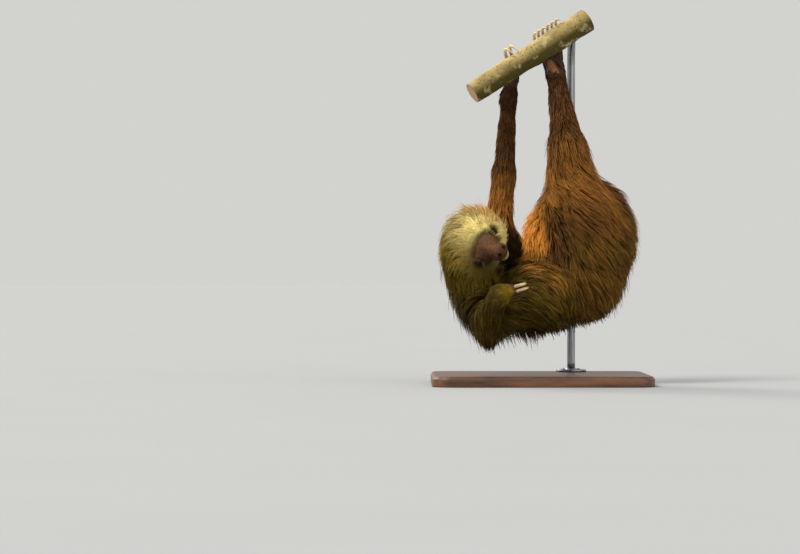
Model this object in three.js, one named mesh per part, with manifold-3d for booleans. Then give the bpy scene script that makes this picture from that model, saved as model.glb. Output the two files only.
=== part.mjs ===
// A Hoffmann's two-toed sloth, life size, curled up under a cut length of branch.
// It hangs by its left hand and both hind feet; its right arm is free.
// A wooden base and one bent steel rod behind the animal carry the branch.
//
// Lengths are millimetres. Z is up, X runs along the base and Y goes to the far
// side: the animal's left is +Y. The origin is the middle of the base's underside.
import * as THREE from 'three';
import Module from 'manifold-3d';

const wasm = await Module();
wasm.setup();

// ---------------------------------------------------------------- main sizes
const GAP = 0.3; // left between two pieces that touch
const PUSH = 0.5; // how far a piece is grown before its neighbour is cut back by it

const base = { length: 380, depth: 320, thickness: 18, corner: 34, bevel: 3 };
const rod = { radius: 7, x: 61, y: 112, bend: 60 };
const flange = { radius: 27, thickness: 6 };
const collar = { radius: 13, length: 14 };
const perch = { slope: 0.65, recede: 0.27, xStart: -119, xEnd: 84, xMark: 8.75, zMark: 590.4 };
const eye = { radius: 6.6, spacing: 57 };

// Grid steps of the polygonised bodies, and how far thinning out may move a face.
const CELL = { trunk: 15, head: 10, neck: 16, arm: 11.5, leg: 13 };
const FLATNESS = 2.4;
const CUT_FLATNESS = 0.12;

const colours = {
  coat: 0x6b4a2c,
  belly: 0xb5793e,
  limb: 0x4a2f1e,
  face: 0xb39a5c,
  skin: 0x4d3a30,
  claw: 0xd8c9a6,
  eyeball: 0x120c08,
  bark: 0x8d8567,
  timber: 0x3b2617,
  steel: 0x8c9094,
};

const v = (x, y, z) => new THREE.Vector3(x, y, z);

// ------------------------------------------------------------------ skeleton
// Joint places, with the radius of the limb there out to the tips of its coat.
const trunk = [
  { at: v(22, 0, 170), r: 74 },
  { at: v(66, 0, 192), r: 78 },
  { at: v(84, 0, 262), r: 84 },
  { at: v(82, 0, 300), r: 69 },
];
const belly = { at: v(33, 0, 262), r: 68 };
const groin = { at: v(38, 0, 298), r: 46 };

const armRight = {
  shoulder: { at: v(5, -48, 157), r: 53 },
  elbow: { at: v(-95, -50, 118), r: 30 },
  wrist: { at: v(-74, -135, 157), r: 17 },
  knuckles: { at: v(-56, -145, 165), r: 11 },
  tuft: { at: v(-89, -49, 73), r: 8 },
  ruff: { at: v(-26, -50, 177), r: 33 },
};
const armLeft = {
  scapula: { at: v(-44, 48, 222), r: 38 },
  shoulder: { at: v(-72, 47, 268), r: 29 },
  elbow: { at: v(-61, 45, 371), r: 21 },
  wrist: { at: v(-54, 33, 503), r: 14 },
  knuckles: { at: v(-43, 29, 553), r: 11 },
};
const legRight = {
  groin: { at: v(40, -20, 306), r: 42 },
  hip: { at: v(80, -46, 300), r: 47 },
  knee: { at: v(46, -38, 410), r: 34.5 },
  heel: { at: v(28, 15, 541), r: 16 },
  toes: { at: v(11, 39, 580), r: 10.5 },
};
const legLeft = {
  groin: { at: v(40, 20, 306), r: 42 },
  hip: { at: v(80, 46, 300), r: 47 },
  knee: { at: v(52, 50, 404), r: 34 },
  heel: { at: v(31, 47, 548), r: 14 },
  toes: { at: v(31, 45, 596), r: 10.5 },
};
const neckChain = [
  { at: v(-128, -18, 224), r: 52 },
  { at: v(-104, 4, 152), r: 47 },
  { at: v(-20, 0, 162), r: 58 },
];

// The head's own axes: forward along the muzzle, to its left, and up to the crown.
const headCentre = v(-119, -46, 245.5);
const forward = v(0.644, -0.743, -0.184).normalize();
const toLeft = v(0.418, 0.14, 0.898).normalize();
const toCrown = new THREE.Vector3().crossVectors(forward, toLeft).normalize();
const onHead = (ahead, left, up) =>
  headCentre
    .clone()
    .addScaledVector(forward, ahead)
    .addScaledVector(toLeft, left)
    .addScaledVector(toCrown, up);

// --------------------------------------------------------------- fields
// A field is a function of a point that is negative inside the body.
const clamp = (x, low, high) => Math.min(Math.max(x, low), high);

function roundCone(a, b) {
  const axis = b.at.clone().sub(a.at);
  const length = axis.length();
  axis.divideScalar(length);
  const lean = (a.r - b.r) / length;
  const across = Math.sqrt(1 - lean * lean);
  const offset = new THREE.Vector3();
  return (p) => {
    offset.subVectors(p, a.at);
    const along = offset.dot(axis);
    const out = Math.sqrt(Math.max(offset.lengthSq() - along * along, 0));
    const station = clamp(along + (out * lean) / across, 0, length);
    const radius = a.r + ((b.r - a.r) * station) / length;
    return Math.hypot(along - station, out) - radius;
  };
}

function ellipsoid(centre, axes, radii) {
  const offset = new THREE.Vector3();
  return (p) => {
    offset.subVectors(p, centre);
    let near = 0;
    let steep = 0;
    axes.forEach((axis, i) => {
      const t = offset.dot(axis) / radii[i];
      near += t * t;
      steep += (t / radii[i]) ** 2;
    });
    const k = Math.sqrt(near);
    return (k * (k - 1)) / Math.max(Math.sqrt(steep), 1e-9);
  };
}

function blend(fields, softness) {
  return (p) => {
    let total = fields[0](p);
    for (let i = 1; i < fields.length; i++) {
      const next = fields[i](p);
      const h = Math.max(softness - Math.abs(total - next), 0) / softness;
      total = Math.min(total, next) - h * h * softness * 0.25;
    }
    return total;
  };
}

const chain = (stations) =>
  stations.slice(1).map((station, i) => roundCone(stations[i], station));

function boundsOf(stations, margin) {
  const box = new THREE.Box3();
  for (const { at, r } of stations) {
    box.expandByPoint(at.clone().addScalar(r + margin));
    box.expandByPoint(at.clone().addScalar(-r - margin));
  }
  return box;
}

// ------------------------------------------------------- field to solid
const NEIGHBOURS = [
  [0, 0, 0], [1, 0, 0], [0, 1, 0], [1, 1, 0],
  [0, 0, 1], [1, 0, 1], [0, 1, 1], [1, 1, 1],
];
const CELL_EDGES = [
  [0, 1], [2, 3], [4, 5], [6, 7], [0, 2], [1, 3],
  [4, 6], [5, 7], [0, 4], [1, 5], [2, 6], [3, 7],
];

// Moves a point onto the zero surface of a field along the field's slope.
function settle(field, point) {
  const step = 0.5;
  const probe = new THREE.Vector3();
  const slope = new THREE.Vector3();
  for (let round = 0; round < 3; round++) {
    const here = field(point);
    for (const axis of ['x', 'y', 'z']) {
      probe.copy(point);
      probe[axis] += step;
      slope[axis] = (field(probe) - here) / step;
    }
    point.addScaledVector(slope, -here / Math.max(slope.lengthSq(), 0.05));
  }
  return point;
}

// Surface nets: one vertex in each grid cell that the surface passes through,
// and one quad round each grid edge that it crosses.
function solidOf(field, bounds, cell) {
  const box = bounds.clone().expandByScalar(cell);
  const size = box.getSize(v(0, 0, 0));
  const n = ['x', 'y', 'z'].map((axis) => Math.ceil(size[axis] / cell) + 2);
  const gridPoint = (i, j, k) =>
    v(box.min.x + i * cell, box.min.y + j * cell, box.min.z + k * cell);
  const indexOf = (i, j, k) => i + n[0] * (j + n[1] * k);
  const value = new Float64Array(n[0] * n[1] * n[2]);
  for (let k = 0; k < n[2]; k++) {
    for (let j = 0; j < n[1]; j++) {
      for (let i = 0; i < n[0]; i++) {
        value[indexOf(i, j, k)] = field(gridPoint(i, j, k));
      }
    }
  }

  const points = [];
  const pointOf = new Map();
  for (let k = 0; k < n[2] - 1; k++) {
    for (let j = 0; j < n[1] - 1; j++) {
      for (let i = 0; i < n[0] - 1; i++) {
        const corner = NEIGHBOURS.map(([a, b, c]) => value[indexOf(i + a, j + b, k + c)]);
        const crossed = CELL_EDGES.filter(([a, b]) => corner[a] < 0 !== corner[b] < 0);
        if (!crossed.length) continue;
        const mean = v(0, 0, 0);
        for (const [a, b] of crossed) {
          const from = gridPoint(i + NEIGHBOURS[a][0], j + NEIGHBOURS[a][1], k + NEIGHBOURS[a][2]);
          const to = gridPoint(i + NEIGHBOURS[b][0], j + NEIGHBOURS[b][1], k + NEIGHBOURS[b][2]);
          mean.add(from.lerp(to, corner[a] / (corner[a] - corner[b])));
        }
        pointOf.set(indexOf(i, j, k), points.length);
        points.push(settle(field, mean.divideScalar(crossed.length)));
      }
    }
  }

  const triangles = [];
  const addQuad = (a, b, c, d) => {
    if (points[a].distanceTo(points[c]) < points[b].distanceTo(points[d])) {
      triangles.push(a, b, c, a, c, d);
    } else {
      triangles.push(a, b, d, b, c, d);
    }
  };
  const steps = [[1, 0, 0], [0, 1, 0], [0, 0, 1]];
  for (let k = 1; k < n[2] - 1; k++) {
    for (let j = 1; j < n[1] - 1; j++) {
      for (let i = 1; i < n[0] - 1; i++) {
        const inside = value[indexOf(i, j, k)] < 0;
        steps.forEach((step, axis) => {
          const ahead = value[indexOf(i + step[0], j + step[1], k + step[2])] < 0;
          if (inside === ahead) return;
          const s = steps[(axis + 1) % 3];
          const t = steps[(axis + 2) % 3];
          const around = [[1, 1], [0, 1], [0, 0], [1, 0]].map(([a, b]) =>
            pointOf.get(indexOf(i - a * s[0] - b * t[0], j - a * s[1] - b * t[1], k - a * s[2] - b * t[2])),
          );
          if (!inside) around.reverse();
          addQuad(...around);
        });
      }
    }
  }
  return manifoldOf(points.flatMap((p) => [p.x, p.y, p.z]), triangles).simplify(FLATNESS);
}

// ----------------------------------------------------------- solid helpers
function manifoldOf(coordinates, triangles) {
  const mesh = new wasm.Mesh({
    numProp: 3,
    vertProperties: Float32Array.from(coordinates),
    triVerts: Uint32Array.from(triangles),
  });
  mesh.merge();
  return new wasm.Manifold(mesh);
}

const fromGeometry = (geometry) => {
  const position = geometry.getAttribute('position');
  const order = geometry.index ? geometry.index.array : position.array.map((_, i) => i);
  return manifoldOf(position.array, geometry.index ? order : order.slice(0, position.count));
};

function geometryOf(solid) {
  const mesh = solid.getMesh();
  const geometry = new THREE.BufferGeometry();
  geometry.setAttribute('position', new THREE.BufferAttribute(mesh.vertProperties, 3));
  geometry.setIndex(new THREE.BufferAttribute(mesh.triVerts, 1));
  geometry.computeVertexNormals();
  return geometry;
}

// The same solid with its whole surface moved outwards a little.
function grown(solid, by = PUSH) {
  const geometry = geometryOf(solid);
  const position = geometry.getAttribute('position');
  const normal = geometry.getAttribute('normal');
  for (let i = 0; i < position.count; i++) {
    position.setXYZ(
      i,
      position.getX(i) + by * normal.getX(i),
      position.getY(i) + by * normal.getY(i),
      position.getZ(i) + by * normal.getZ(i),
    );
  }
  return fromGeometry(geometry);
}

// Keeps the largest body, which drops the crumbs that a cut can leave.
const largest = (solid) =>
  solid.decompose().reduce((best, piece) => (piece.volume() > best.volume() ? piece : best));

const without = (solid, ...others) =>
  largest(others.reduce((rest, other) => rest.subtract(grown(other)), solid)).simplify(CUT_FLATNESS);

// Cuts a solid in two by a plane, with the gap between the halves.
function parted(solid, point, normal) {
  const n = normal.clone().normalize();
  const height = point.dot(n);
  const ahead = solid.trimByPlane(n.toArray(), height + GAP / 2);
  const behind = solid.trimByPlane(n.clone().negate().toArray(), -height + GAP / 2);
  return [largest(behind).simplify(CUT_FLATNESS), largest(ahead).simplify(CUT_FLATNESS)];
}

// The plane through a bent joint that shares out both of its limbs' ends.
function jointNormal(before, joint, after) {
  const back = joint.at.clone().sub(before.at).normalize();
  return after.at.clone().sub(joint.at).normalize().add(back);
}

function limb(fields, stations, cell, softness = 10) {
  return solidOf(blend(fields, softness), boundsOf(stations, 8), cell);
}

// An arc of an ellipse in space: the half axes are vectors, the angles degrees.
class SpaceArc extends THREE.Curve {
  constructor(centre, halfAxisA, halfAxisB, from, to) {
    super();
    Object.assign(this, { centre, halfAxisA, halfAxisB, from, to });
  }

  getPoint(t) {
    const angle = THREE.MathUtils.degToRad(this.from + (this.to - this.from) * t);
    return this.centre
      .clone()
      .addScaledVector(this.halfAxisA, Math.cos(angle))
      .addScaledVector(this.halfAxisB, Math.sin(angle));
  }
}

// A solid swept along a curve, with a flat cap at each end. The offset function
// gives the two distances from the curve, along `side` and square to it.
function sweep(curve, side, offset, rings, sides) {
  const coordinates = [];
  const triangles = [];
  for (let i = 0; i <= rings; i++) {
    const t = i / rings;
    const tangent = curve.getTangent(t);
    const across = side.clone().addScaledVector(tangent, -side.dot(tangent)).normalize();
    const out = new THREE.Vector3().crossVectors(tangent, across);
    for (let j = 0; j < sides; j++) {
      const [sideways, outwards] = offset(t, (2 * Math.PI * j) / sides);
      const point = curve
        .getPoint(t)
        .addScaledVector(across, sideways)
        .addScaledVector(out, outwards);
      coordinates.push(point.x, point.y, point.z);
    }
  }
  for (let i = 0; i < rings; i++) {
    for (let j = 0; j < sides; j++) {
      const a = i * sides + j;
      const b = i * sides + ((j + 1) % sides);
      triangles.push(a, b, b + sides, a, b + sides, a + sides);
    }
  }
  const last = rings * sides;
  for (let j = 1; j < sides - 1; j++) {
    triangles.push(0, j + 1, j, last, last + j, last + j + 1);
  }
  return manifoldOf(coordinates, triangles);
}

// A claw: an oval section that tapers to a blunt tip.
function claw(curve, { width, height, tip }, side) {
  const section = (t, angle) => {
    const taper = 0.5 * (1 - (1 - tip) * t ** 2);
    return [width * taper * Math.cos(angle), height * taper * Math.sin(angle)];
  };
  return sweep(curve, side, section, 8, 7);
}

// ------------------------------------------------------------------- perch
const alongPerch = v(1, perch.recede, perch.slope).normalize();
const farSide = v(0, 1, 0).addScaledVector(alongPerch, -alongPerch.y).normalize();
const overPerch = new THREE.Vector3().crossVectors(alongPerch, farSide).normalize();
const perchPoint = (x) =>
  v(x, perch.recede * (x + 20), perch.zMark + perch.slope * (x - perch.xMark));
const perchRadius = (x) => 20.2 + 0.013 * x + 0.7 * Math.sin(x / 17) - 0.5 * Math.sin(x / 7.3);

function makePerch() {
  const curve = new THREE.LineCurve3(perchPoint(perch.xStart), perchPoint(perch.xEnd));
  const section = (t, angle) => {
    const knots = 1 + 0.025 * Math.sin(3 * angle + 10 * t);
    const radius = perchRadius(curve.getPoint(t).x) * knots;
    return [radius * Math.cos(angle), radius * Math.sin(angle)];
  };
  return sweep(curve, farSide, section, 10, 14);
}

// A claw hooked over the perch: it starts behind and comes over the top.
function hookedClaw(x, { reach, rise, from, to }, shape) {
  const away = farSide.clone().multiplyScalar(reach);
  const up = overPerch.clone().multiplyScalar(rise);
  const curve = new SpaceArc(perchPoint(x), away, up, from, to);
  return claw(curve, shape, alongPerch);
}

// ------------------------------------------------------------------- pieces
const parts = [];
const add = (name, solid, colour) => parts.push({ name, solid, colour });

// Trunk, parted across its length in three.
const trunkSolid = solidOf(
  blend([...chain(trunk), roundCone(belly, trunk[1]), roundCone(belly, groin)], 24),
  boundsOf([...trunk, belly, groin], 14),
  CELL.trunk,
);
const [chestSolid, upperTrunk] = parted(trunkSolid, v(58, 0, 196), v(0.55, 0, 0.83));
const [abdomenSolid, rumpSolid] = parted(upperTrunk, v(84, 0, 274), v(0.2, 0, 1));

// Head, modelled whole with muzzle and jaw and then parted.
const headAxes = [forward, toLeft, toCrown];
const headField = blend(
  [
    ellipsoid(onHead(-8, 0, -4), headAxes, [46, 71, 58]),
    ellipsoid(onHead(12, 0, -14), headAxes, [27, 56, 44]),
    roundCone({ at: onHead(34, 0, -3), r: 22.5 }, { at: onHead(70, 0, -5), r: 14.5 }),
    roundCone({ at: onHead(20, 0, -22), r: 17 }, { at: onHead(64, 0, -18), r: 9.5 }),
  ],
  9,
);
const headSolid = solidOf(headField, boundsOf([{ at: onHead(0, 0, 0), r: 78 }], 6), CELL.head);
const eyeAt = (side) => onHead(33.5, (side * eye.spacing) / 2, 0);
const eyeball = (side, radius) =>
  fromGeometry(
    new THREE.SphereGeometry(radius, 12, 8).translate(...eyeAt(side).toArray()),
  );
const socketed = headSolid
  .subtract(eyeball(1, eye.radius + GAP))
  .subtract(eyeball(-1, eye.radius + GAP));
const [skull, snout] = parted(socketed, onHead(44, 0, 0), forward);
const mouthLine = toCrown.clone().addScaledVector(forward, 0.12);
const [jawSolid, upperSnout] = parted(snout, onHead(60, 0, -15), mouthLine);
const [muzzleSolid, noseSolid] = parted(upperSnout, onHead(75, 0, 0), forward);

const neckWhole = limb(chain(neckChain), neckChain, CELL.neck);
const neckSolid = without(neckWhole, trunkSolid, headSolid);

// Right arm: free, with the hand held out towards the near side. Its coat stands
// out in a ruff above the upper arm and hangs in a tuft below the elbow.
const { shoulder, elbow, wrist, knuckles, tuft, ruff } = armRight;
const armRightWhole = limb(
  [
    ...chain([shoulder, elbow, wrist, knuckles]),
    roundCone(elbow, tuft),
    roundCone(shoulder, ruff),
  ],
  Object.values(armRight),
  CELL.arm,
);
const armRightSolid = without(armRightWhole, trunkSolid, headSolid, neckWhole);
const [upperArmRight, lowerArmRight] = parted(
  armRightSolid, elbow.at, jointNormal(shoulder, elbow, wrist),
);
const [forearmRight, handRight] = parted(
  lowerArmRight, wrist.at, jointNormal(elbow, wrist, knuckles),
);

// Left arm: raised straight up behind the head to the perch.
const perchSolid = makePerch();
const leftChain = Object.values(armLeft);
const armLeftSolid = without(
  limb(chain(leftChain), leftChain, CELL.arm), trunkSolid, headSolid, neckWhole, perchSolid,
);
const [upperArmLeft, lowerArmLeft] = parted(
  armLeftSolid, armLeft.elbow.at, jointNormal(armLeft.shoulder, armLeft.elbow, armLeft.wrist),
);
const [forearmLeft, handLeft] = parted(
  lowerArmLeft, armLeft.wrist.at, jointNormal(armLeft.elbow, armLeft.wrist, armLeft.knuckles),
);

// Legs: thighs up from the hips, shanks on up, feet behind the perch. A fold of the
// groin joins each thigh to the belly.
function makeLeg(leg, neighbours) {
  const { groin: fold, ...joints } = leg;
  const stations = Object.values(joints);
  const whole = limb(
    [...chain(stations), roundCone(fold, leg.knee)], [fold, ...stations], CELL.leg, 20,
  );
  const solid = without(whole, ...neighbours);
  const [thigh, below] = parted(solid, leg.knee.at, jointNormal(leg.hip, leg.knee, leg.heel));
  const [shank, foot] = parted(below, leg.heel.at, jointNormal(leg.knee, leg.heel, leg.toes));
  return { whole, thigh, shank, foot };
}
const rightLeg = makeLeg(legRight, [trunkSolid, perchSolid]);
const leftLeg = makeLeg(legLeft, [trunkSolid, perchSolid, rightLeg.whole]);

add('head', skull, colours.face);
add('muzzle', muzzleSolid, colours.skin);
add('nose', noseSolid, colours.skin);
add('jaw', jawSolid, colours.skin);
add('eye_left', eyeball(1, eye.radius), colours.eyeball);
add('eye_right', eyeball(-1, eye.radius), colours.eyeball);
add('neck', neckSolid, colours.coat);
add('chest', chestSolid, colours.coat);
add('abdomen', abdomenSolid, colours.belly);
add('rump', rumpSolid, colours.coat);
add('upper_arm_right', upperArmRight, colours.coat);
add('forearm_right', forearmRight, colours.coat);
add('upper_arm_left', upperArmLeft, colours.limb);
add('forearm_left', forearmLeft, colours.limb);
add('thigh_right', rightLeg.thigh, colours.coat);
add('shank_right', rightLeg.shank, colours.limb);
add('thigh_left', leftLeg.thigh, colours.coat);
add('shank_left', leftLeg.shank, colours.limb);

// Claws: two on each hand, three on each foot. Each hand or foot is cut back
// round the roots of its claws.
function addPaw(name, paw, clawName, claws, colour) {
  add(name, without(paw, ...claws), colour);
  claws.forEach((claw, i) => add(`${clawName}_${i + 1}`, claw, colours.claw));
}

const handClaw = { width: 6.2, height: 8.4, tip: 0.16 };
const footClaw = { width: 5.4, height: 7.6, tip: 0.18 };
const handGrip = { reach: 27.5, rise: 33, from: 8, to: 152 };
const footGrip = { reach: 27.5, rise: 29.5, from: 14, to: 128 };

const freeClaws = [
  [v(-60, -145, 168), v(-28, -157, 178), v(-31, -112, 176)],
  [v(-57, -144, 160), v(-24, -154, 171), v(-27, -110, 169)],
].map(([root, bow, tip]) =>
  claw(new THREE.QuadraticBezierCurve3(root, bow, tip), handClaw, v(0, 0, 1)),
);
addPaw('hand_right', handRight, 'claw_hand_right', freeClaws, colours.skin);

const heldClaws = [-42.4, -33.8].map((x) => hookedClaw(x, handGrip, handClaw));
addPaw('hand_left', handLeft, 'claw_hand_left', heldClaws, colours.skin);

const footClaws = (middle) =>
  [-7.4, 0, 7.4].map((offset) => hookedClaw(middle + offset, footGrip, footClaw));
addPaw('foot_right', rightLeg.foot, 'claw_foot_right', footClaws(14.5), colours.skin);
addPaw('foot_left', leftLeg.foot, 'claw_foot_left', footClaws(38), colours.skin);

// ------------------------------------------------------------------- stand
function roundedPlate({ length, depth, thickness, corner, bevel }) {
  const x = length / 2 - bevel;
  const y = depth / 2 - bevel;
  const r = corner - bevel;
  const outline = new THREE.Shape();
  outline.moveTo(-x + r, -y);
  outline.lineTo(x - r, -y);
  outline.absarc(x - r, -y + r, r, -Math.PI / 2, 0, false);
  outline.lineTo(x, y - r);
  outline.absarc(x - r, y - r, r, 0, Math.PI / 2, false);
  outline.lineTo(-x + r, y);
  outline.absarc(-x + r, y - r, r, Math.PI / 2, Math.PI, false);
  outline.lineTo(-x, -y + r);
  outline.absarc(-x + r, -y + r, r, Math.PI, 1.5 * Math.PI, false);
  const geometry = new THREE.ExtrudeGeometry(outline, {
    depth: thickness - 2 * bevel,
    bevelThickness: bevel,
    bevelSize: bevel,
    bevelSegments: 1,
    curveSegments: 4,
  });
  return fromGeometry(geometry.translate(0, 0, bevel));
}

const disc = (radius, height, sides = 28) =>
  new THREE.CylinderGeometry(radius, radius, height, sides).rotateX(Math.PI / 2);

const rodMeets = perchPoint(rod.x);
const bendStart = rodMeets.z - rod.bend;
const rodFoot = base.thickness + GAP + flange.thickness;
const rodLength = bendStart - GAP / 2 - rodFoot - GAP;

add('stand_base', roundedPlate(base), colours.timber);
add(
  'stand_flange',
  fromGeometry(
    disc(flange.radius, flange.thickness).translate(
      rod.x, rod.y, base.thickness + GAP + flange.thickness / 2,
    ),
  ),
  colours.steel,
);
add(
  'stand_rod',
  fromGeometry(
    disc(rod.radius, rodLength, 16).translate(rod.x, rod.y, rodFoot + GAP + rodLength / 2),
  ),
  colours.steel,
);

const bendCentre = v(rod.x, rod.y - rod.bend, bendStart + GAP / 2);
const bendCurve = new SpaceArc(bendCentre, v(0, rod.bend, 0), v(0, 0, rod.bend), 0, 90);
const roundSection = (t, angle) => [rod.radius * Math.cos(angle), rod.radius * Math.sin(angle)];
add('stand_rod_bend', sweep(bendCurve, v(1, 0, 0), roundSection, 8, 16), colours.steel);

const collarEnd = rod.y - rod.bend - GAP;
const collarBlank = fromGeometry(
  new THREE.CylinderGeometry(collar.radius, collar.radius, collar.length, 24).translate(
    rod.x, collarEnd - collar.length / 2, rodMeets.z + GAP / 2,
  ),
);
add('stand_collar', without(collarBlank, perchSolid), colours.steel);
add('stand_perch', perchSolid, colours.bark);

// ---------------------------------------------------------------- assembly
const finish = {
  [colours.eyeball]: { roughness: 0.08, metalness: 0 },
  [colours.claw]: { roughness: 0.4, metalness: 0 },
  [colours.skin]: { roughness: 0.6, metalness: 0 },
  [colours.timber]: { roughness: 0.45, metalness: 0 },
  [colours.steel]: { roughness: 0.32, metalness: 0.9 },
};

const group = new THREE.Group();
group.name = 'two_toed_sloth';
for (const { name, solid, colour } of parts) {
  const surface = finish[colour] ?? { roughness: 0.9, metalness: 0 };
  const material = new THREE.MeshStandardMaterial({ color: colour, ...surface });
  const mesh = new THREE.Mesh(geometryOf(solid), material);
  mesh.name = name;
  group.add(mesh);
}

export default group;
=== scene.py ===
"""A life-size Hoffmann's two-toed sloth, curled up below a cut length of branch.

One skin covers the whole body, and a coat of hair locks lies over it. Both are
made from the same list of bones. Places and lengths are in millimetres in the
CAD frame until a mesh is made, and then in metres.
"""

from dataclasses import dataclass
from typing import Callable

import bmesh
import bpy
import numpy as np
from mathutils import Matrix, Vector, kdtree


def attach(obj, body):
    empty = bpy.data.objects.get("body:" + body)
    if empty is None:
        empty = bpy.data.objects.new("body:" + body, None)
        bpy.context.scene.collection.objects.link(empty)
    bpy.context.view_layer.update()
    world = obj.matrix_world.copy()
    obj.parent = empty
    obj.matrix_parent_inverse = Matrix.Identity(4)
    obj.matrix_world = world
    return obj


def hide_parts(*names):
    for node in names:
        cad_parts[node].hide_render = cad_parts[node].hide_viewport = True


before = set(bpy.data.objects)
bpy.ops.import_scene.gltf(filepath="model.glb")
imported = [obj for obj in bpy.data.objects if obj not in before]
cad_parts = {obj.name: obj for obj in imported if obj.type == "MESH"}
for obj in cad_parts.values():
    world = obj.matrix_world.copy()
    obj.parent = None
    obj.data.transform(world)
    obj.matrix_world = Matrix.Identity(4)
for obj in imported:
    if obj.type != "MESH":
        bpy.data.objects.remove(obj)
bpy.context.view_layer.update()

MM = 0.001
rng = np.random.default_rng(4831)

# ------------------------------------------------------------------ sizes
EYE_RADIUS = 6.6
EYE_SPACING = 55.0
EYE_SLIT_HALF_LENGTH = 6.5
EYE_SLIT_HALF_HEIGHT = 5.2
SKIN_CELL = 3.2
FACE_REACH = 60.0
GUIDES = 4200
# The most locks in a piece, which keeps it under 200,000 triangles.
LOCKS_PER_PIECE = 8600
# The share of locks that stand out from the rest.
STRAYS = 0.05
# The side of each lock's patch in the OFBake map, as a share of the map.
BAKE_PATCH = 0.003

CAMERA_PLACE = (-0.245, -5.0, 0.1875)
CAMERA_LENS = 128.6


def vec(*xyz):
    return np.array(xyz, float)


def unit(v):
    return v / np.maximum(np.linalg.norm(v, axis=-1, keepdims=True), 1e-9)


def ramp(x, low, high):
    """0 at low, 1 at high, smooth between."""
    t = np.clip((x - low) / (high - low), 0, 1)
    return t * t * (3 - 2 * t)


def mixed(a, b, t):
    return a + (b - a) * t


def apart(p, place):
    """Each point's distance from one place."""
    return np.linalg.norm(p - vec(*place), axis=1)


def add_object(name, data):
    """A new object in the scene, round a mesh, a lamp or a camera."""
    made = bpy.data.objects.new(name, data)
    bpy.context.scene.collection.objects.link(made)
    return made


# ----------------------------------------------------------------- camera
camera = add_object("camera", bpy.data.cameras.new("camera"))
camera.location = CAMERA_PLACE
camera.rotation_euler = (np.pi / 2, 0, 0)
camera.data.lens = CAMERA_LENS
camera.data.clip_end = 100
bpy.context.scene.camera = camera

# ------------------------------------------------------------- head's axes
HEAD = vec(-119, -46, 245.5)
FORWARD = unit(vec(0.644, -0.743, -0.184))
LEFT = unit(vec(0.418, 0.14, 0.898))
CROWN = unit(np.cross(FORWARD, LEFT))
HEAD_AXES = np.stack([FORWARD, LEFT, CROWN])


def on_head(ahead, left, up):
    return HEAD + vec(ahead, left, up) @ HEAD_AXES


def head_place(p):
    """How far each point is ahead, left and up in the head's own axes."""
    return (p - HEAD) @ HEAD_AXES.T


NOSE_TIP = on_head(80, 0, -5)

# ------------------------------------------------------- lie of the coat
DOWN = vec(0, 0, -1)


def along(a, b):
    """Hair that lies from a to b all over the limb."""
    way = unit(vec(*b) - vec(*a))
    return lambda p, n: np.broadcast_to(way, p.shape)


def trunk_lie(p, n):
    """Fans out from a parting beside the groin, and out from the belly's midline."""
    fan = unit(np.stack([p[:, 0] + 12, 0 * p[:, 0], 0.85 * (p[:, 2] - 345)], 1))
    belly = ramp(-n[:, 0], 0, 0.7) * ramp(p[:, 0], 60, 10)
    sideways = 0.5 * np.tanh(p[:, 1] / 22)
    under = np.stack([np.full(len(p), -0.25), sideways, np.full(len(p), -0.8)], 1)
    return unit(mixed(fan, under, belly[:, None]))


def thigh_lie(p, n):
    """Over the knee and down the thigh, turning towards the back."""
    low = ramp(p[:, 2], 400, 330)
    return unit(np.stack([mixed(0.35, 0.95, low), 0 * low, mixed(-0.85, -0.28, low)], 1))


def shoulder_lie(p, n):
    """Up over the shoulder's front and down behind it."""
    angle = np.interp(p[:, 0], [-95, -74, -58, -38, -5, 62], [-85, -25, 45, 12, -20, -76])
    angle = np.radians(angle)
    return np.stack([np.cos(angle), 0 * angle, np.sin(angle)], 1)


def forearm_lie(p, n):
    """Towards the elbow, and then down to the tip of the elbow's tuft."""
    near = ramp(apart(p, ELBOW_RIGHT), 80, 25)[:, None]
    to_elbow = unit(vec(*ELBOW_RIGHT) - vec(*WRIST_RIGHT))
    return unit(mixed(to_elbow, unit(ELBOW_TUFT_TIP - p), 0.3 + 0.7 * near))


def neck_lie(p, n):
    return np.broadcast_to(unit(vec(0.5, 0, -0.86)), p.shape)


def head_lie(p, n):
    """Out from the muzzle over the whole head, and then down under its weight."""
    heavy = ramp(apart(p, NOSE_TIP), 62, 125) * ramp(head_place(p)[:, 1], 48, 12)
    return unit(unit(p - NOSE_TIP) + heavy[:, None] * vec(0.15, 0, -0.75))


# ------------------------------------------------------------------ bones
# The flesh's radius, the coat's depth and the hair's length are given at both
# ends. Marks say how cream, orange, umber and olive the coat is there. Hair lies
# back from a bone's end to its start, unless it has a lie of its own.
@dataclass
class Bone:
    start: tuple
    end: tuple
    radius: tuple
    depth: tuple = (0, 0)
    hair: tuple = (0, 0)
    marks_and_shading: tuple = (0, 0, 0, 0)
    group: str = "trunk"
    lie: Callable = None
    sag: float = 0.7

    def __post_init__(self):
        self.lie = self.lie or along(self.end, self.start)

    def measure(self, p):
        """Each point's distance from this bone's flesh, and its place along it."""
        a = vec(*self.start)
        axis = vec(*self.end) - a
        length = np.linalg.norm(axis)
        axis /= length
        ra, rb = self.radius
        lean = (ra - rb) / length
        offset = p - a
        station = offset @ axis
        out = np.sqrt(np.maximum((offset**2).sum(1) - station**2, 0))
        station_on = np.clip(station + out * lean / np.sqrt(1 - lean * lean), 0, length)
        t = station_on / length
        return np.hypot(station - station_on, out) - mixed(ra, rb, t), t


@dataclass
class Lobe:
    """An ellipsoid of the head, in the head's own axes."""

    centre: tuple
    radii: tuple

    def measure(self, p):
        offset = (head_place(p) - vec(*self.centre)) / vec(*self.radii)
        near = np.sqrt((offset**2).sum(1))
        steep = np.sqrt(((offset / vec(*self.radii)) ** 2).sum(1))
        return near * (near - 1) / np.maximum(steep, 1e-9)


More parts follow.
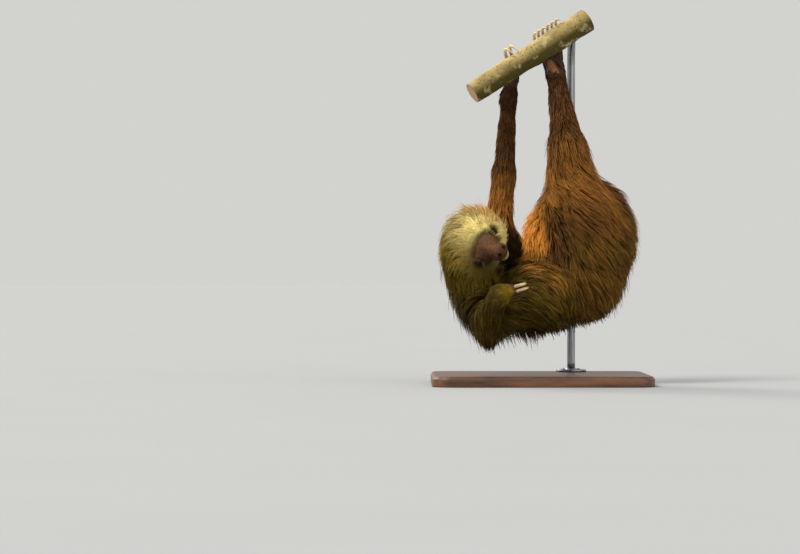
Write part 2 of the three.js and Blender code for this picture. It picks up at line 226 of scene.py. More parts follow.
ELBOW_RIGHT = (-95, -50, 118)
ELBOW_TUFT_TIP = vec(-89, -49, 62)
WRIST_RIGHT = (-74, -135, 157)
KNUCKLES_RIGHT = (-57, -144.5, 165)
SCAPULA_LEFT = (-44, 48, 222)
SHOULDER_LEFT = (-72, 47, 268)
ELBOW_LEFT = (-61, 45, 371)
WRIST_LEFT = (-54, 33, 503)
KNUCKLES_LEFT = (-43, 29, 553)
KNEE_RIGHT = (46, -38, 410)
HEEL_RIGHT = (28, 15, 541)
TOES_RIGHT = (11, 39, 580)
KNEE_LEFT = (52, 50, 404)
HEEL_LEFT = (31, 47, 548)
TOES_LEFT = (31, 45, 596)

TAN = (0, 1, 0, 0)
HUSKY = (0, 0, 0, 0.3)
THIGH = (0, 0.28, 0, 0)
UMBER = (0, 0, 1, 0)
RUSSET = (0, 0.2, 0.65, 0)
RUFOUS = (0, 0.5, 0.1, 0)
MOSSY = (0, 0, 0.4, 0.6)
DUSKY = (0, 0, 0.75, 0.4)
OLIVE = (0, 0, 0.35, 0.6)
# NAPE and THROAT: the coat's own umber, deepened with painted shade on the nape, throat and raised
# shoulder.
NAPE = (0, 0, 0.85, 0.35)
THROAT = (0, 0, 0.95, 0.2)

BONES = [
    Bone((22, 0, 170), (66, 0, 192), (52, 57), (22, 22), (56, 60), HUSKY,
         lie=trunk_lie, sag=0.35),
    Bone((66, 0, 192), (84, 0, 262), (57, 62), (22, 22), (60, 68), HUSKY,
         lie=trunk_lie, sag=0.3),
    Bone((84, 0, 262), (82, 0, 300), (62, 48), (22, 21), (68, 62), lie=trunk_lie, sag=0.3),
    Bone((33, 0, 262), (66, 0, 192), (50, 57), (17, 20), (30, 54), lie=trunk_lie, sag=0.3),
    Bone((33, 0, 262), (38, 0, 298), (50, 32), (17, 14), (30, 27), lie=trunk_lie, sag=0.3),
    Bone((40, -20, 306), KNEE_RIGHT, (27, 22), (15, 12), (30, 36), THIGH,
         lie=thigh_lie, sag=0.3),
    Bone((40, 20, 306), KNEE_LEFT, (27, 23), (15, 11), (30, 36), THIGH,
         lie=thigh_lie, sag=0.3),
    Bone((-128, -18, 224), (-104, 4, 152), (29, 30), (22, 20), (58, 62), NAPE, "neck",
         neck_lie, 1),
    Bone((-104, 4, 152), (-20, 0, 162), (30, 42), (18, 18), (60, 60), THROAT, "neck",
         neck_lie, 1),
    Bone((5, -48, 157), ELBOW_RIGHT, (36, 17), (17, 13), (52, 62), DUSKY, "arm_right",
         shoulder_lie, 0.6),
    Bone((5, -48, 157), (-26, -50, 177), (36, 20), (17, 13), (52, 48), DUSKY,
         "arm_right", shoulder_lie, 0.4),
    Bone(ELBOW_RIGHT, WRIST_RIGHT, (17, 13.5), (13, 4), (62, 22), MOSSY, "arm_right",
         forearm_lie, 1),
    Bone(WRIST_RIGHT, KNUCKLES_RIGHT, (13.5, 9.5), (4, 1.5), (20, 8), OLIVE, "arm_right"),
    Bone(SCAPULA_LEFT, SHOULDER_LEFT, (25, 18), (13, 11), (46, 42), THROAT, "arm_left"),
    Bone(SHOULDER_LEFT, ELBOW_LEFT, (18, 14.5), (11, 6.5), (42, 34), RUFOUS, "arm_left"),
    Bone(ELBOW_LEFT, WRIST_LEFT, (14.5, 11), (6.5, 3), (34, 16), RUSSET, "arm_left"),
    Bone(WRIST_LEFT, KNUCKLES_LEFT, (11, 9.5), (3, 1.5), (15, 8), UMBER, "arm_left"),
    Bone((80, -46, 300), KNEE_RIGHT, (32, 22), (15, 12), (56, 46), THIGH, "leg_right",
         thigh_lie),
    Bone(KNEE_RIGHT, HEEL_RIGHT, (22, 12.5), (12, 3.5), (42, 16), RUSSET, "leg_right"),
    Bone(HEEL_RIGHT, TOES_RIGHT, (12.5, 9.5), (3, 1), (14, 7), UMBER, "leg_right"),
    Bone((80, 46, 300), KNEE_LEFT, (32, 23), (15, 11), (56, 46), THIGH, "leg_left",
         thigh_lie),
    Bone(KNEE_LEFT, HEEL_LEFT, (23, 11.5), (11, 3), (42, 16), RUSSET, "leg_left"),
    Bone(HEEL_LEFT, TOES_LEFT, (11.5, 9.5), (3, 1), (14, 7), UMBER, "leg_left"),
]
# The head counts as nearer than it is by HEAD_LEAD, its hair hangs by HEAD_SAG, and
# the coat fades from one bone to the next over SHARE_FADE.
HEAD_LEAD = 4
HEAD_SAG = 0.35
SHARE_FADE = 7
TRUNK_BONES = slice(0, 7)
NECK_BONES = slice(7, 9)
SHOULDER_BONES = slice(9, 11)
RAISED_SHOULDER = slice(13, 15)

SKULL = [
    Lobe((-8, 0, -4), (36, 40, 37)),
    Lobe((12, 0, -12), (31, 44, 38)),
]
MUZZLE = Bone(on_head(28, 0, -4), on_head(66, 0, -5), (24.5, 12))
JAW = Bone(on_head(18, 0, -22), on_head(61, 0, -18), (15, 9))
NOSE_PAD = Lobe((70.5, 0, -3.5), (8.5, 13.5, 9.5))
LIPS = [Lobe((60, side * 7.5, -10.5), (12.5, 8.5, 7)) for side in (1, -1)]
EARS = [Lobe((-8, side * 40, -2), (9, 7, 10)) for side in (1, -1)]

# ------------------------------------------------------------------ perch
PERCH_X = (-119, 84)
PERCH_BACK = 0.27
PERCH_RISE = 0.65
ALONG_PERCH = unit(vec(1, PERCH_BACK, PERCH_RISE))
FAR_SIDE = unit(vec(0, 1, 0) - ALONG_PERCH[1] * ALONG_PERCH)
OVER_PERCH = np.cross(ALONG_PERCH, FAR_SIDE)


def perch_point(x):
    return vec(x, PERCH_BACK * (x + 20), 590.4 + PERCH_RISE * (x - 8.75))


def perch_radius(x):
    return 20.2 + 0.013 * x + 0.7 * np.sin(x / 17) - 0.5 * np.sin(x / 7.3)


HAND_GRIP = {"reach": 27.5, "rise": 33, "start": 8, "stop": 152}
FOOT_GRIP = {"reach": 27.5, "rise": 29.5, "start": 14, "stop": 128}
# Each held claw's place along the perch, its grip, and the knuckle that it grows from.
HELD_CLAWS = {
    f"claw_{limb}_{k + 1}": (first + k * gap, grip, knuckle)
    for limb, count, first, gap, grip, knuckle in (
        ("hand_left", 2, -42.4, 8.6, HAND_GRIP, KNUCKLES_LEFT),
        ("foot_right", 3, 7.1, 7.4, FOOT_GRIP, TOES_RIGHT),
        ("foot_left", 3, 30.6, 7.4, FOOT_GRIP, TOES_LEFT),
    )
    for k in range(count)
}
FREE_CLAWS = {
    "claw_hand_right_1": ((-60, -145, 168), (-28, -157, 178), (-31, -112, 176)),
    "claw_hand_right_2": ((-57, -144, 160), (-24, -154, 171), (-27, -110, 169)),
}


def hook_path(x, grip, t):
    """A held claw's course round the perch."""
    angle = np.radians(mixed(grip["start"], grip["stop"], t))[:, None]
    away = grip["reach"] * np.cos(angle) * FAR_SIDE
    return perch_point(x) + away + grip["rise"] * np.sin(angle) * OVER_PERCH


def bow_path(points, t):
    """A free claw's course, from its root past a bend to its tip."""
    a, b, c = (vec(*q) for q in points)
    t = t[:, None]
    return (1 - t) ** 2 * a + 2 * t * (1 - t) * b + t**2 * c


def claw_path(name, t):
    if name in HELD_CLAWS:
        x, grip, _ = HELD_CLAWS[name]
        return hook_path(x, grip, t)
    return bow_path(FREE_CLAWS[name], t)


def fingers():
    """A short digit from each knuckle to the sheath round its claw's root."""
    for name in [*HELD_CLAWS, *FREE_CLAWS]:
        knuckle = HELD_CLAWS[name][2] if name in HELD_CLAWS else KNUCKLES_RIGHT
        root, sheath = claw_path(name, vec(0.02, 0.13))
        yield Bone(mixed(vec(*knuckle), root, 0.3), root, (7.5, 5.6))
        yield Bone(root, sheath, (5.6, 4.4))


FINGERS = list(fingers())


# ------------------------------------------------------------------ fields
def smooth_min(a, b, softness):
    h = np.maximum(softness - np.abs(a - b), 0) / softness
    return np.minimum(a, b) - h * h * softness * 0.25


# How widely each kind of part runs into its neighbour.
BLEND = {"bone": 13, "finger": 3, "skull": 14, "jaw": 6, "soft": 4, "lids": 9, "head": 10}


def flesh(p):
    """Distance from the body's plain flesh, with no detail on the face."""
    total = BONES[0].measure(p)[0]
    for bone in BONES[1:]:
        total = smooth_min(total, bone.measure(p)[0], BLEND["bone"])
    for finger in FINGERS:
        total = smooth_min(total, finger.measure(p)[0], BLEND["finger"])
    head = smooth_min(skull(p), MUZZLE.measure(p)[0], BLEND["skull"])
    head = smooth_min(head, JAW.measure(p)[0], BLEND["jaw"])
    for soft in (NOSE_PAD, *LIPS, *EARS):
        head = smooth_min(head, soft.measure(p), BLEND["soft"])
    for side in (1, -1):
        lids = apart(p, eye_place(side)) - (EYE_RADIUS + 1.6)
        head = smooth_min(head, lids, BLEND["lids"])
    return smooth_min(total, head, BLEND["head"])


def skull(p):
    return smooth_min(SKULL[0].measure(p), SKULL[1].measure(p), BLEND["skull"])


def eye_place(side):
    return on_head(33, side * EYE_SPACING / 2, 0)


def from_eyes(p):
    """Each point's distance from the middle of the nearer eye."""
    return np.minimum(apart(p, eye_place(1)), apart(p, eye_place(-1)))


def eye_axes(side):
    """Where an eye looks, along its slit to the inner corner, and across it."""
    gaze = unit(vec(0.85, 0.32 * side, 0.22) @ HEAD_AXES)
    inner = vec(0, -0.85 * side, -0.4) @ HEAD_AXES
    slit = unit(inner - (inner @ gaze) * gaze)
    return gaze, slit, np.cross(gaze, slit)


def lip_line(ahead, left):
    return -15.5 - 0.1 * (ahead - 60) + 0.004 * left**2


def in_nostril(p, side):
    """0 at a nostril's middle and 1 at its rim."""
    offset = (head_place(p) - vec(75.6, 7.2 * side, 0.8)) / vec(5.2, 3.2, 3.0)
    return np.linalg.norm(offset, axis=1)


def with_face(p, field):
    """Cuts the eye slits, nostrils, mouth and folds into a field."""
    ahead, left, up = head_place(p).T
    for side in (1, -1):
        offset = p - eye_place(side)
        gaze, slit, across = eye_axes(side)
        station = (offset @ slit) / EYE_SLIT_HALF_LENGTH
        half_open = EYE_SLIT_HALF_HEIGHT * np.sqrt(np.maximum(1 - station**2, 0))
        gap = np.abs(offset @ across) - half_open
        gap = np.maximum(gap, EYE_RADIUS - 0.8 - np.linalg.norm(offset, axis=1))
        field = np.maximum(field, -np.maximum(gap, -(offset @ gaze)))
        rim = np.abs(np.linalg.norm(offset, axis=1) - EYE_RADIUS - 3.4)
        field = field + 0.5 * np.exp(-(rim**2)) * ramp(offset @ gaze, 0, 4)
        field = np.maximum(field, 2.6 * (1 - in_nostril(p, side)))
    groove = np.exp(-(((up - lip_line(ahead, left)) / 1.1) ** 2)) * ramp(ahead, 38, 50)
    cleft = np.exp(-((left / 0.8) ** 2)) * ramp(ahead, 70, 76) * ramp(up, -4, -9)
    folds = np.sin(ahead * 1.3 + 0.03 * left**2) * ramp(ahead, 34, 44) * ramp(ahead, 66, 56)
    above = up > lip_line(ahead, left)
    return field + 1.9 * groove + 0.8 * cleft + 0.25 * folds * above


def slope(field, p, step=0.4):
    """The field's value and gradient at each point."""
    here = field(p)
    steps = np.eye(3) * step
    gradient = np.stack([field(p + s) - here for s in steps], 1) / step
    return here, gradient


def settled(field, p, rounds=3):
    """Points moved onto the field's zero surface."""
    for _ in range(rounds):
        here, gradient = slope(field, p)
        steep = np.maximum((gradient**2).sum(1), 0.2)
        p = p - (np.clip(here, -3, 3) / steep)[:, None] * gradient
    return p


# -------------------------------------------------------------------- skin
def surface_net(field, low, high, cell):
    """Vertices and quads of the field's zero surface, one vertex to a cell."""
    count = np.ceil((high - low) / cell).astype(int) + 1
    axes = [low[i] + cell * np.arange(count[i]) for i in range(3)]
    value = np.empty(count)
    yy, zz = np.meshgrid(axes[1], axes[2], indexing="ij")
    for i, x in enumerate(axes[0]):
        slab = np.stack([np.full(yy.size, x), yy.ravel(), zz.ravel()], 1)
        value[i] = field(slab).reshape(yy.shape)
    inside = value < 0

    cells = count - 1
    total = np.zeros((*cells, 3))
    hits = np.zeros(cells)
    quads = []
    number = np.arange(cells.prod()).reshape(cells)
    for axis in range(3):
        where = np.argwhere(np.diff(inside, axis=axis))
        beyond = where + np.eye(3, dtype=int)[axis]
        v0, v1 = value[tuple(where.T)], value[tuple(beyond.T)]
        place = low + cell * where
        place[:, axis] += cell * (v0 / (v0 - v1))
        s, t = (axis + 1) % 3, (axis + 2) % 3
        around = []
        for ds, dt in ((1, 1), (0, 1), (0, 0), (1, 0)):
            near = where.copy()
            near[:, s] -= ds
            near[:, t] -= dt
            np.add.at(total, tuple(near.T), place)
            np.add.at(hits, tuple(near.T), 1)
            around.append(number[tuple(near.T)])
        ring = np.stack(around, 1)
        outward = v0[:, None] < 0
        quads.append(np.where(outward, ring, ring[:, ::-1]))
    used = hits > 0
    renumber = np.cumsum(used.ravel()) - 1
    points = total[used] / hits[used][:, None]
    return points, renumber[np.concatenate(quads)]


def nearest_bone(p):
    """Soft shares of the bones at each point, and its place along each."""
    measured = [bone.measure(p) for bone in BONES]
    distance = np.stack([d for d, _ in measured], 1)
    head = np.minimum(skull(p), MUZZLE.measure(p)[0])
    distance = np.concatenate([distance, head[:, None] - HEAD_LEAD], 1)
    near = distance.min(1, keepdims=True)
    share = np.exp(-(distance - near) / SHARE_FADE)
    return share / share.sum(1, keepdims=True), np.stack([t for _, t in measured], 1)


def head_hair(p):
    """The coat's depth and the hair's length on the head."""
    ahead, left, up = head_place(p).T
    back = ramp(apart(p, on_head(60, 0, -8)), 26, 98)
    side = ramp(np.abs(left), 22, 46)
    cheek = ramp(-up, -5, 25) * ramp(np.abs(left), 10, 34)
    tuft = ramp(left, 10, 38) * ramp(ahead, 42, 10)
    depth = 2 + 17 * back + 12 * back * side + 7 * cheek + 8 * tuft
    length = 3.5 + 48 * back**1.4 + 8 * side * back + 6 * cheek + 9 * tuft
    return depth, length * (0.45 + 0.55 * ramp(from_eyes(p), 9, 22))


def coat_way(p, n, share):
    """The way that hair lies: the bones' and the head's ways, by their shares."""
    ways = [bone.lie(p, n) for bone in BONES] + [head_lie(p, n)]
    return sum(share[:, i, None] * way for i, way in enumerate(ways))


def facts(p, n):
    """Everything the coat needs to know at each root."""
    share, t = nearest_bone(p)
    head = share[:, -1]
    depth = hair = 0
    sag = HEAD_SAG * head
    for i, bone in enumerate(BONES):
        depth = depth + share[:, i] * mixed(*bone.depth, t[:, i])
        hair = hair + share[:, i] * mixed(*bone.hair, t[:, i])
        sag = sag + share[:, i] * bone.sag
    head_depth, head_length = head_hair(p)
    marks_and_shading, shade = markings(p, n, share)
    return {
        "depth": depth + head * head_depth,
        "hair": hair + head * head_length,
        "marks_and_shading": marks_and_shading,
        "lie": unit(coat_way(p, n, share)),
        "sag": sag,
        "shade": shade,
        "bone": share.argmax(1),
        "bare": bareness(p, n),
        "head": head,
    }


def markings(p, n, share):
    """The coat's marks with painted light and shade laid into them, and how much painted shade
    darkens it, at each point.
    """
    x, _, z = p.T
    ahead, left, _ = head_place(p).T
    head = share[:, -1]
    trunk = share[:, TRUNK_BONES].sum(1)
    shoulder = share[:, SHOULDER_BONES].sum(1)
    marks_and_shading = sum(share[:, i, None] * vec(*bone.marks_and_shading) for i, bone in enumerate(BONES))
    marks_and_shading = marks_and_shading + head[:, None] * head_marks_and_shading(p)

    edge = x + 3 * np.sin(z / 9)
    belly = trunk * ramp(edge, 27, 0) * ramp(z, 200, 265)
    marks_and_shading = mixed(marks_and_shading, vec(*TAN), belly[:, None])
    # Painted shade: umber along the crease where the belly meets the flank.
    crease_shade = trunk * np.exp(-(((edge - 17) / 7) ** 2)) * ramp(z, 205, 225) * ramp(z, 345, 325)
    # Painted shade: umber under the body and limbs, which also adds to the shade below.
    under = 0.65 * (1 - head) * ramp(z, 165, 108)
    marks_and_shading[:, 2] += 0.4 * crease_shade + under

    # Painted light: orange, with less umber and olive, on the shoulder's faces that turn up
    # towards the key light; its other faces get painted shade below.
    lit_crest = shoulder * ramp(n[:, 2] - 0.4 * n[:, 0], 0.45, 0.85) * ramp(z, 150, 185)
    marks_and_shading[:, 1] += 0.5 * lit_crest
    marks_and_shading[:, 2:] *= 1 - 0.8 * lit_crest[:, None]
    middle = (1 - belly) * np.exp(-(((x - 56) / 32) ** 2) - ((z - 292) / 42) ** 2)
    # Painted shade: umber, and less orange, on the front of the raised shoulder below the head.
    hollow_shade = share[:, RAISED_SHOULDER].sum(1) * ramp(z, 320, 265) * ramp(n[:, 1], 0.2, -0.5)
    marks_and_shading[:, 2] += 0.6 * middle + 0.6 * hollow_shade
    marks_and_shading[:, 1] *= 1 - hollow_shade

    # Painted shade on the nape, under the body, in that hollow, on the shoulder's unlit faces and
    # on the neck.
    nape_shade = ramp(left, -5, -40) * ramp(ahead, 20, -25) + ramp(left, -30, -60)
    shade = 1.8 * under + 1.4 * nape_shade * ramp(x, -50, -85) + hollow_shade
    shade += 0.5 * (shoulder - lit_crest) + 0.75 * share[:, NECK_BONES].sum(1)
    return np.clip(marks_and_shading, 0, 1), np.clip(shade, 0, 1)


def head_marks_and_shading(p):
    """Cream round the muzzle, olive further out, and dark at the eyes and nape, with painted light
    on the upper side and painted shade on the lower side.
    """
    ahead, left, up = head_place(p).T
    out = apart(p, on_head(50, 0, 0))
    # Painted light and shade: more cream, and less olive, on the upper side, which faces the
    # light.
    lit = ramp(left, -36, 22)
    cream = ramp(out, 78, 40) * (0.14 + 0.86 * lit) + 0.25 * lit * ramp(out, 40, 90)
    olive = ramp(out, 28, 58) * (1 - 0.4 * lit)
    tan = ramp(left, 24, 46) * ramp(ahead, 42, 16)
    # Its second term, umber on the lower side away from the muzzle, is painted shade.
    umber = 0.35 * ramp(ahead, -8, -44) + 0.8 * ramp(left, -10, -38) * ramp(out, 34, 70)
    near_eye = 0.9 * ramp(from_eyes(p), 9.6, 8.3)
    beside_muzzle = ramp(ahead, 25, 35) * ramp(np.abs(left), 27, 20) * ramp(up, -22, -12)
    # Painted shade: umber, and less cream, ahead of the eye on the lower side.
    shade_below_eye = ramp(ahead, 20, 34) * ramp(left, -6, -20)
    umber = np.max([umber, near_eye, 0.75 * beside_muzzle, 0.4 * shade_below_eye], 0)
    cream *= (1 - near_eye) * (1 - 0.4 * shade_below_eye)
    cream *= (1 - 0.85 * tan) * (1 - 0.85 * beside_muzzle)
    return np.stack([cream, 0.65 * tan, umber + 0.15 * tan, olive * (1 - 0.8 * tan)], 1)


PALM_LEFT = (-46, 30.5, 536)
HEEL_RIDGE = ((28, 0, 543), (18, 16, 566))
SOLES = [(HEEL_RIGHT, TOES_RIGHT), (HEEL_LEFT, TOES_LEFT), (PALM_LEFT, KNUCKLES_LEFT)]


def bareness(p, n):
    """1 where the skin shows: the muzzle, the lids, the soles and the digits."""
    ahead, left, up = head_place(p).T
    width = mixed(27, 15, ramp(ahead, 34, 54)) + 20 * ramp(ahead, 58, 66)
    bare = ramp(ahead, 28, 36) * ramp(np.abs(left), width + 4, width - 2)
    bare *= ramp(up, lip_line(ahead, left) - 3.5, lip_line(ahead, left) - 1)
    bare = np.maximum(bare, ramp(from_eyes(p), 9.8, 8.2))
    for heel, toes in SOLES:
        sole = Bone(heel, toes, (14, 12)).measure(p)[0]
        bare = np.maximum(bare, ramp(sole, 4, 0) * ramp(-n[:, 1], 0.1, 0.45))
    for finger in FINGERS:
        bare = np.maximum(bare, ramp(finger.measure(p)[0], 2.5, 0.5))
    return bare


def dark_skin(p):
    """How dark bare skin is, from the heel's ridge below 0 to 2 inside the nostrils. The muzzle's
    darker lower side and the near-black in the nostrils are painted shade.
    """
    ahead, left, _ = head_place(p).T
    nose = 0.6 * ramp(ahead, 64, 74)
    # Painted shade on the muzzle's lower side.
    shaded_muzzle_side = 0.6 * ramp(left, 3, -15) * ramp(ahead, 32, 42)
    feet = 0.8 * ramp(p[:, 2], 480, 520)
    hand = 0.7 * ramp(apart(p, KNUCKLES_RIGHT), 40, 30)
    lids = 1.5 * ramp(from_eyes(p), 12, 8.5)
    # Near-black painted shade inside the nostrils.
    nostril_shade = [2 * ramp(in_nostril(p, side), 1.25, 0.95) for side in (1, -1)]
    dark = np.max([nose, shaded_muzzle_side, feet, hand, lids, *nostril_shade], 0)
    on_heel = Bone(*HEEL_RIDGE, (1.5, 1.5)).measure(p)[0]
    return dark - 2 * ramp(on_heel, 7.5, 2)


def flat(values):
    """Numbers as one plain row, as Blender's fast calls want them."""
    return np.asarray(values, np.float32).ravel()


def mesh_object(name, points, faces):
    """A mesh from millimetre points and faces of one size, in fast arrays."""
    points = np.asarray(points, float)
    faces = np.asarray(faces, np.int32)
    mesh = bpy.data.meshes.new(name)
    sides = faces.shape[1]
    mesh.vertices.add(len(points))
    mesh.vertices.foreach_set("co", flat(points * MM))
    mesh.loops.add(faces.size)
    mesh.loops.foreach_set("vertex_index", faces.ravel())
    mesh.polygons.add(len(faces))
    starts = np.arange(0, faces.size, sides, dtype=np.int32)
    mesh.polygons.foreach_set("loop_start", starts)
    mesh.polygons.foreach_set("use_smooth", np.ones(len(faces), bool))
    mesh.update(calc_edges=True)
    mesh.validate()
    return add_object(name, mesh)


def set_number(mesh, name, values):
    layer = mesh.attributes.new(name, "FLOAT", "POINT")
    layer.data.foreach_set("value", flat(values))


def set_colour(mesh, name, values):
    layer = mesh.attributes.new(name, "FLOAT_COLOR", "POINT")
    layer.data.foreach_set("color", flat(values))


def coordinates(mesh):
    points = np.empty(len(mesh.vertices) * 3, np.float32)
    mesh.vertices.foreach_get("co", points)
    return points.reshape(-1, 3).astype(float) / MM


def make_skin():
    """The whole body's skin, finer at the face, with what its material reads."""
    stations = [vec(*end) for bone in BONES for end in (bone.start, bone.end)]
    margin = 70
    low, high = np.min(stations, 0) - margin, np.max(stations, 0) + margin
    points, quads = surface_net(flesh, low, high, SKIN_CELL)
    skin = mesh_object("skin", settled(flesh, points), quads)
    made = bmesh.new()
    made.from_mesh(skin.data)
    face_middle = on_head(48, 0, -4)
    for reach in (FACE_REACH, FACE_REACH - 12):
        near = [
            edge
            for edge in made.edges
            if np.linalg.norm(np.array(edge.verts[0].co) / MM - face_middle) < reach
        ]
        bmesh.ops.subdivide_edges(made, edges=near, cuts=1, use_grid_fill=True)
    bmesh.ops.triangulate(made, faces=made.faces)
    made.to_mesh(skin.data)
    made.free()

    points = settled(flesh, coordinates(skin.data), 1)
    face = apart(points, face_middle) < FACE_REACH
    points[face] = settled(lambda p: with_face(p, flesh(p)), points[face], 4)
    skin.data.vertices.foreach_set("co", flat(points * MM))
    skin.data.update()

    _, gradient = slope(flesh, points)
    known = facts(points, unit(gradient))
    set_colour(skin.data, "marks_and_shading", known["marks_and_shading"])
    set_number(skin.data, "bare", known["bare"])
    set_number(skin.data, "dark", dark_skin(points))
    return skin


# -------------------------------------------------------------------- coat
def root_places(skin, count, weight_of):
    """Random points on the skin, more of them where the weight is higher."""
    mesh = skin.data
    mesh.calc_loop_triangles()
    corners = np.empty(len(mesh.loop_triangles) * 3, np.int32)
    mesh.loop_triangles.foreach_get("vertices", corners)
    corners = corners.reshape(-1, 3)
    points = coordinates(mesh)
    a, b, c = (points[corners[:, i]] for i in range(3))
    area = np.linalg.norm(np.cross(b - a, c - a), axis=1) / 2
    chance = area * weight_of((a + b + c) / 3)
    chosen = rng.choice(len(corners), count, p=chance / chance.sum())
    u, w = rng.random((2, count, 1))
    flip = u + w > 1
    u, w = np.where(flip, 1 - u, u), np.where(flip, 1 - w, w)
    return a[chosen] + u * (b - a)[chosen] + w * (c - a)[chosen]


def grow(roots, normals, known, steps=7):
    """Traces a hair from each root: along the coat's lie, and down by its weight."""
    length = known["hair"] * rng.uniform(0.85, 1.15, len(roots))
    depth = known["depth"]
    turn = rng.normal(0, 0.16, (len(roots), 1))
    path = [roots - 0.8 * normals]
    place = roots.copy()
    normal = normals
    for k in range(1, steps + 1):
        t = k / steps
        way = coat_way(place, normal, nearest_bone(place)[0])
        way = unit(way) + turn * np.cross(normal, way)
        heavy = np.clip(length / 60, 0, 1) * known["sag"]
        way = way + heavy[:, None] * (0.2 + 0.8 * t) * DOWN
        inward = np.minimum((way * normal).sum(1), 0)[:, None]
        way = unit(way - inward * normal)
        place = place + way * (length / steps)[:, None]
        distance, gradient = slope(flesh, place)
        normal = unit(gradient)
        target = depth * (1 - (1 - t) ** 2.2)
        lift = target - distance
        hanging = ramp(-normal[:, 2], 0.1, 0.8) * known["sag"]
        lift = np.where(lift < 0, lift * 0.6 * (1 - hanging), lift * 0.85)
        place = place + lift[:, None] * normal
        path.append(place)
    return np.stack(path, 1)


def along_path(path, t):
    """Points at the parameters t, 0 to 1, of each polyline."""
    steps = path.shape[1] - 1
    place = np.clip(t * steps, 0, steps * 1.15)
    index = np.minimum(place.astype(int), steps - 1)
    share = (place - index)[..., None]
    rows = np.arange(len(path))[:, None]
    return path[rows, index] * (1 - share) + path[rows, index + 1] * share


def lock_faces(count, rings):
    """Triangles of locks with three points to a ring, and one more at the tip."""
    tip = 3 * rings
    faces = [(0, 2, 1)]
    for first in range(0, tip - 3, 3):
        for j in range(3):
            a, b = first + j, first + (j + 1) % 3
            faces += [(a, b, b + 3), (a, b + 3, a + 3)]
    faces += [(tip - 3 + j, tip - 3 + (j + 1) % 3, tip) for j in range(3)]
    faces = np.array(faces)[None] + ((tip + 1) * np.arange(count))[:, None, None]
    return faces.reshape(-1, 3)


def lock_mesh(name, line, normals, width, marks_and_shading, tone_and_shade, charts):
    """Closed three-sided locks round the lines, tapering to a point."""
    count, rings = line.shape[0], line.shape[1] - 1
    tangent = unit(np.gradient(line, axis=1))
    across = unit(np.cross(tangent, normals[:, None, :]))
    up = np.cross(across, tangent)
    t = np.linspace(0, 1, rings + 1)[:rings]
    half = (0.5 * width[:, None] * (0.8 + 0.6 * t - 1.22 * t**2))[..., None]
    aside, above = half * across[:, :rings], 0.85 * half * up[:, :rings]
    body = line[:, :rings]
    ring = np.stack([body - aside, body + aside, body + above], 2)
    points = np.concatenate([ring.reshape(count, -1, 3), line[:, -1:]], 1)
    each = points.shape[1]
    faces = lock_faces(count, rings)
    made = mesh_object(name, points.reshape(-1, 3), faces)

    reach = np.concatenate([np.repeat(np.arange(rings) / rings, 3), [1.0]])
    set_colour(made.data, "marks_and_shading", np.repeat(marks_and_shading, each, 0))
    set_number(made.data, "tone_and_shade", np.repeat(tone_and_shade, each))
    # Painted shade towards each lock's root, kept lighter on orange and cream locks.
    root_shade_share = 1 - 0.45 * marks_and_shading[:, :2].max(1, keepdims=True)
    set_number(made.data, "reach", 1 - (1 - reach) * root_shade_share)

    across_patch = np.append(np.tile([-0.5, 0, 0.5], rings), 0)
    corner = BAKE_PATCH * np.stack([across_patch, reach - 0.5], 1)
    places = (charts[:, None, :] + corner[None]).reshape(-1, 2)
    layer = made.data.uv_layers.new(name="OFBake")
    layer.uv.foreach_set("vector", flat(places[faces.reshape(-1)]))
    return made


def chart_places(p, bone_index):
    """Unwraps the skin limb by limb: round each bone, and along it."""
    ends = [(vec(*bone.start), vec(*bone.end)) for bone in BONES]
    ends.append((on_head(-44, 0, 0), on_head(84, 0, 0)))
    places = np.zeros((len(p), 2))
    used = np.unique(bone_index)
    for column, index in enumerate(used):
        mine = bone_index == index
        start, end = ends[index]
        axis = unit(end - start)
        side = unit(np.cross(axis, vec(0.3, 1, 0.2)))
        other = np.cross(axis, side)
        offset = p[mine] - start
        angle = np.arctan2(offset @ other, offset @ side) / (2 * np.pi) + 0.5
        station = offset @ axis
        station = (station - station.min()) / max(np.ptp(station), 1e-6)
        width = 1 / len(used)
        places[mine, 0] = (column + 0.02 + 0.96 * angle) * width
        places[mine, 1] = 0.01 + 0.98 * station
    return places


def frame_at(p):
    """The skin's outward normal and the coat's facts at each point."""
    _, gradient = slope(flesh, p)
    normal = unit(gradient)
    return normal, facts(p, normal)


def long_share(p):
    """How thickly long locks grow at each point."""
    _, known = frame_at(p)
    long = ramp(known["hair"], 14, 24)
    return long * (1 + 1.4 * known["head"]) * (1 - known["bare"]) + 1e-6


def short_share(p):
    """How thickly short locks grow: on the face, the hands and the feet."""
    _, known = frame_at(p)
    short = ramp(known["hair"], 26, 15)
    hand = ramp(apart(p, WRIST_RIGHT), 48, 30)
    return short * (1 + 2 * known["head"] + 3 * hand) * (1 - known["bare"]) + 1e-6


# How many locks of each kind, where they grow, and the stations along each.
LOCKS = {
    "long": (52000, long_share, vec(0, 0.3, 0.58, 0.82, 1)),
    "short": (35000, short_share, vec(0, 0.5, 1)),
}


class Guides:
    """Guide hairs all over the skin, which the locks near them follow."""

    def __init__(self, skin):
        self.roots = root_places(skin, GUIDES, lambda p: long_share(p) + 0.8 * short_share(p))
        self.paths = grow(self.roots, *frame_at(self.roots))
        self.tones = rng.normal(0, 0.13, GUIDES)
        self.tree = kdtree.KDTree(GUIDES)
        for i, place in enumerate(self.roots):
            self.tree.insert(place, i)
        self.tree.balance()

    def near(self, roots, head):
        """The three guides nearest each root, and how hard each of them pulls."""
        found = [self.tree.find_n(place, 3) for place in roots]
        index = np.array([[guide[1] for guide in row] for row in found])
        gap = np.array([[guide[2] for guide in row] for row in found])
        gap = (gap + 0.3) * rng.uniform(0.75, 1.35, gap.shape)
        pull = gap ** -mixed(6, 1.6, head)[:, None]
        return index, pull / pull.sum(1, keepdims=True)


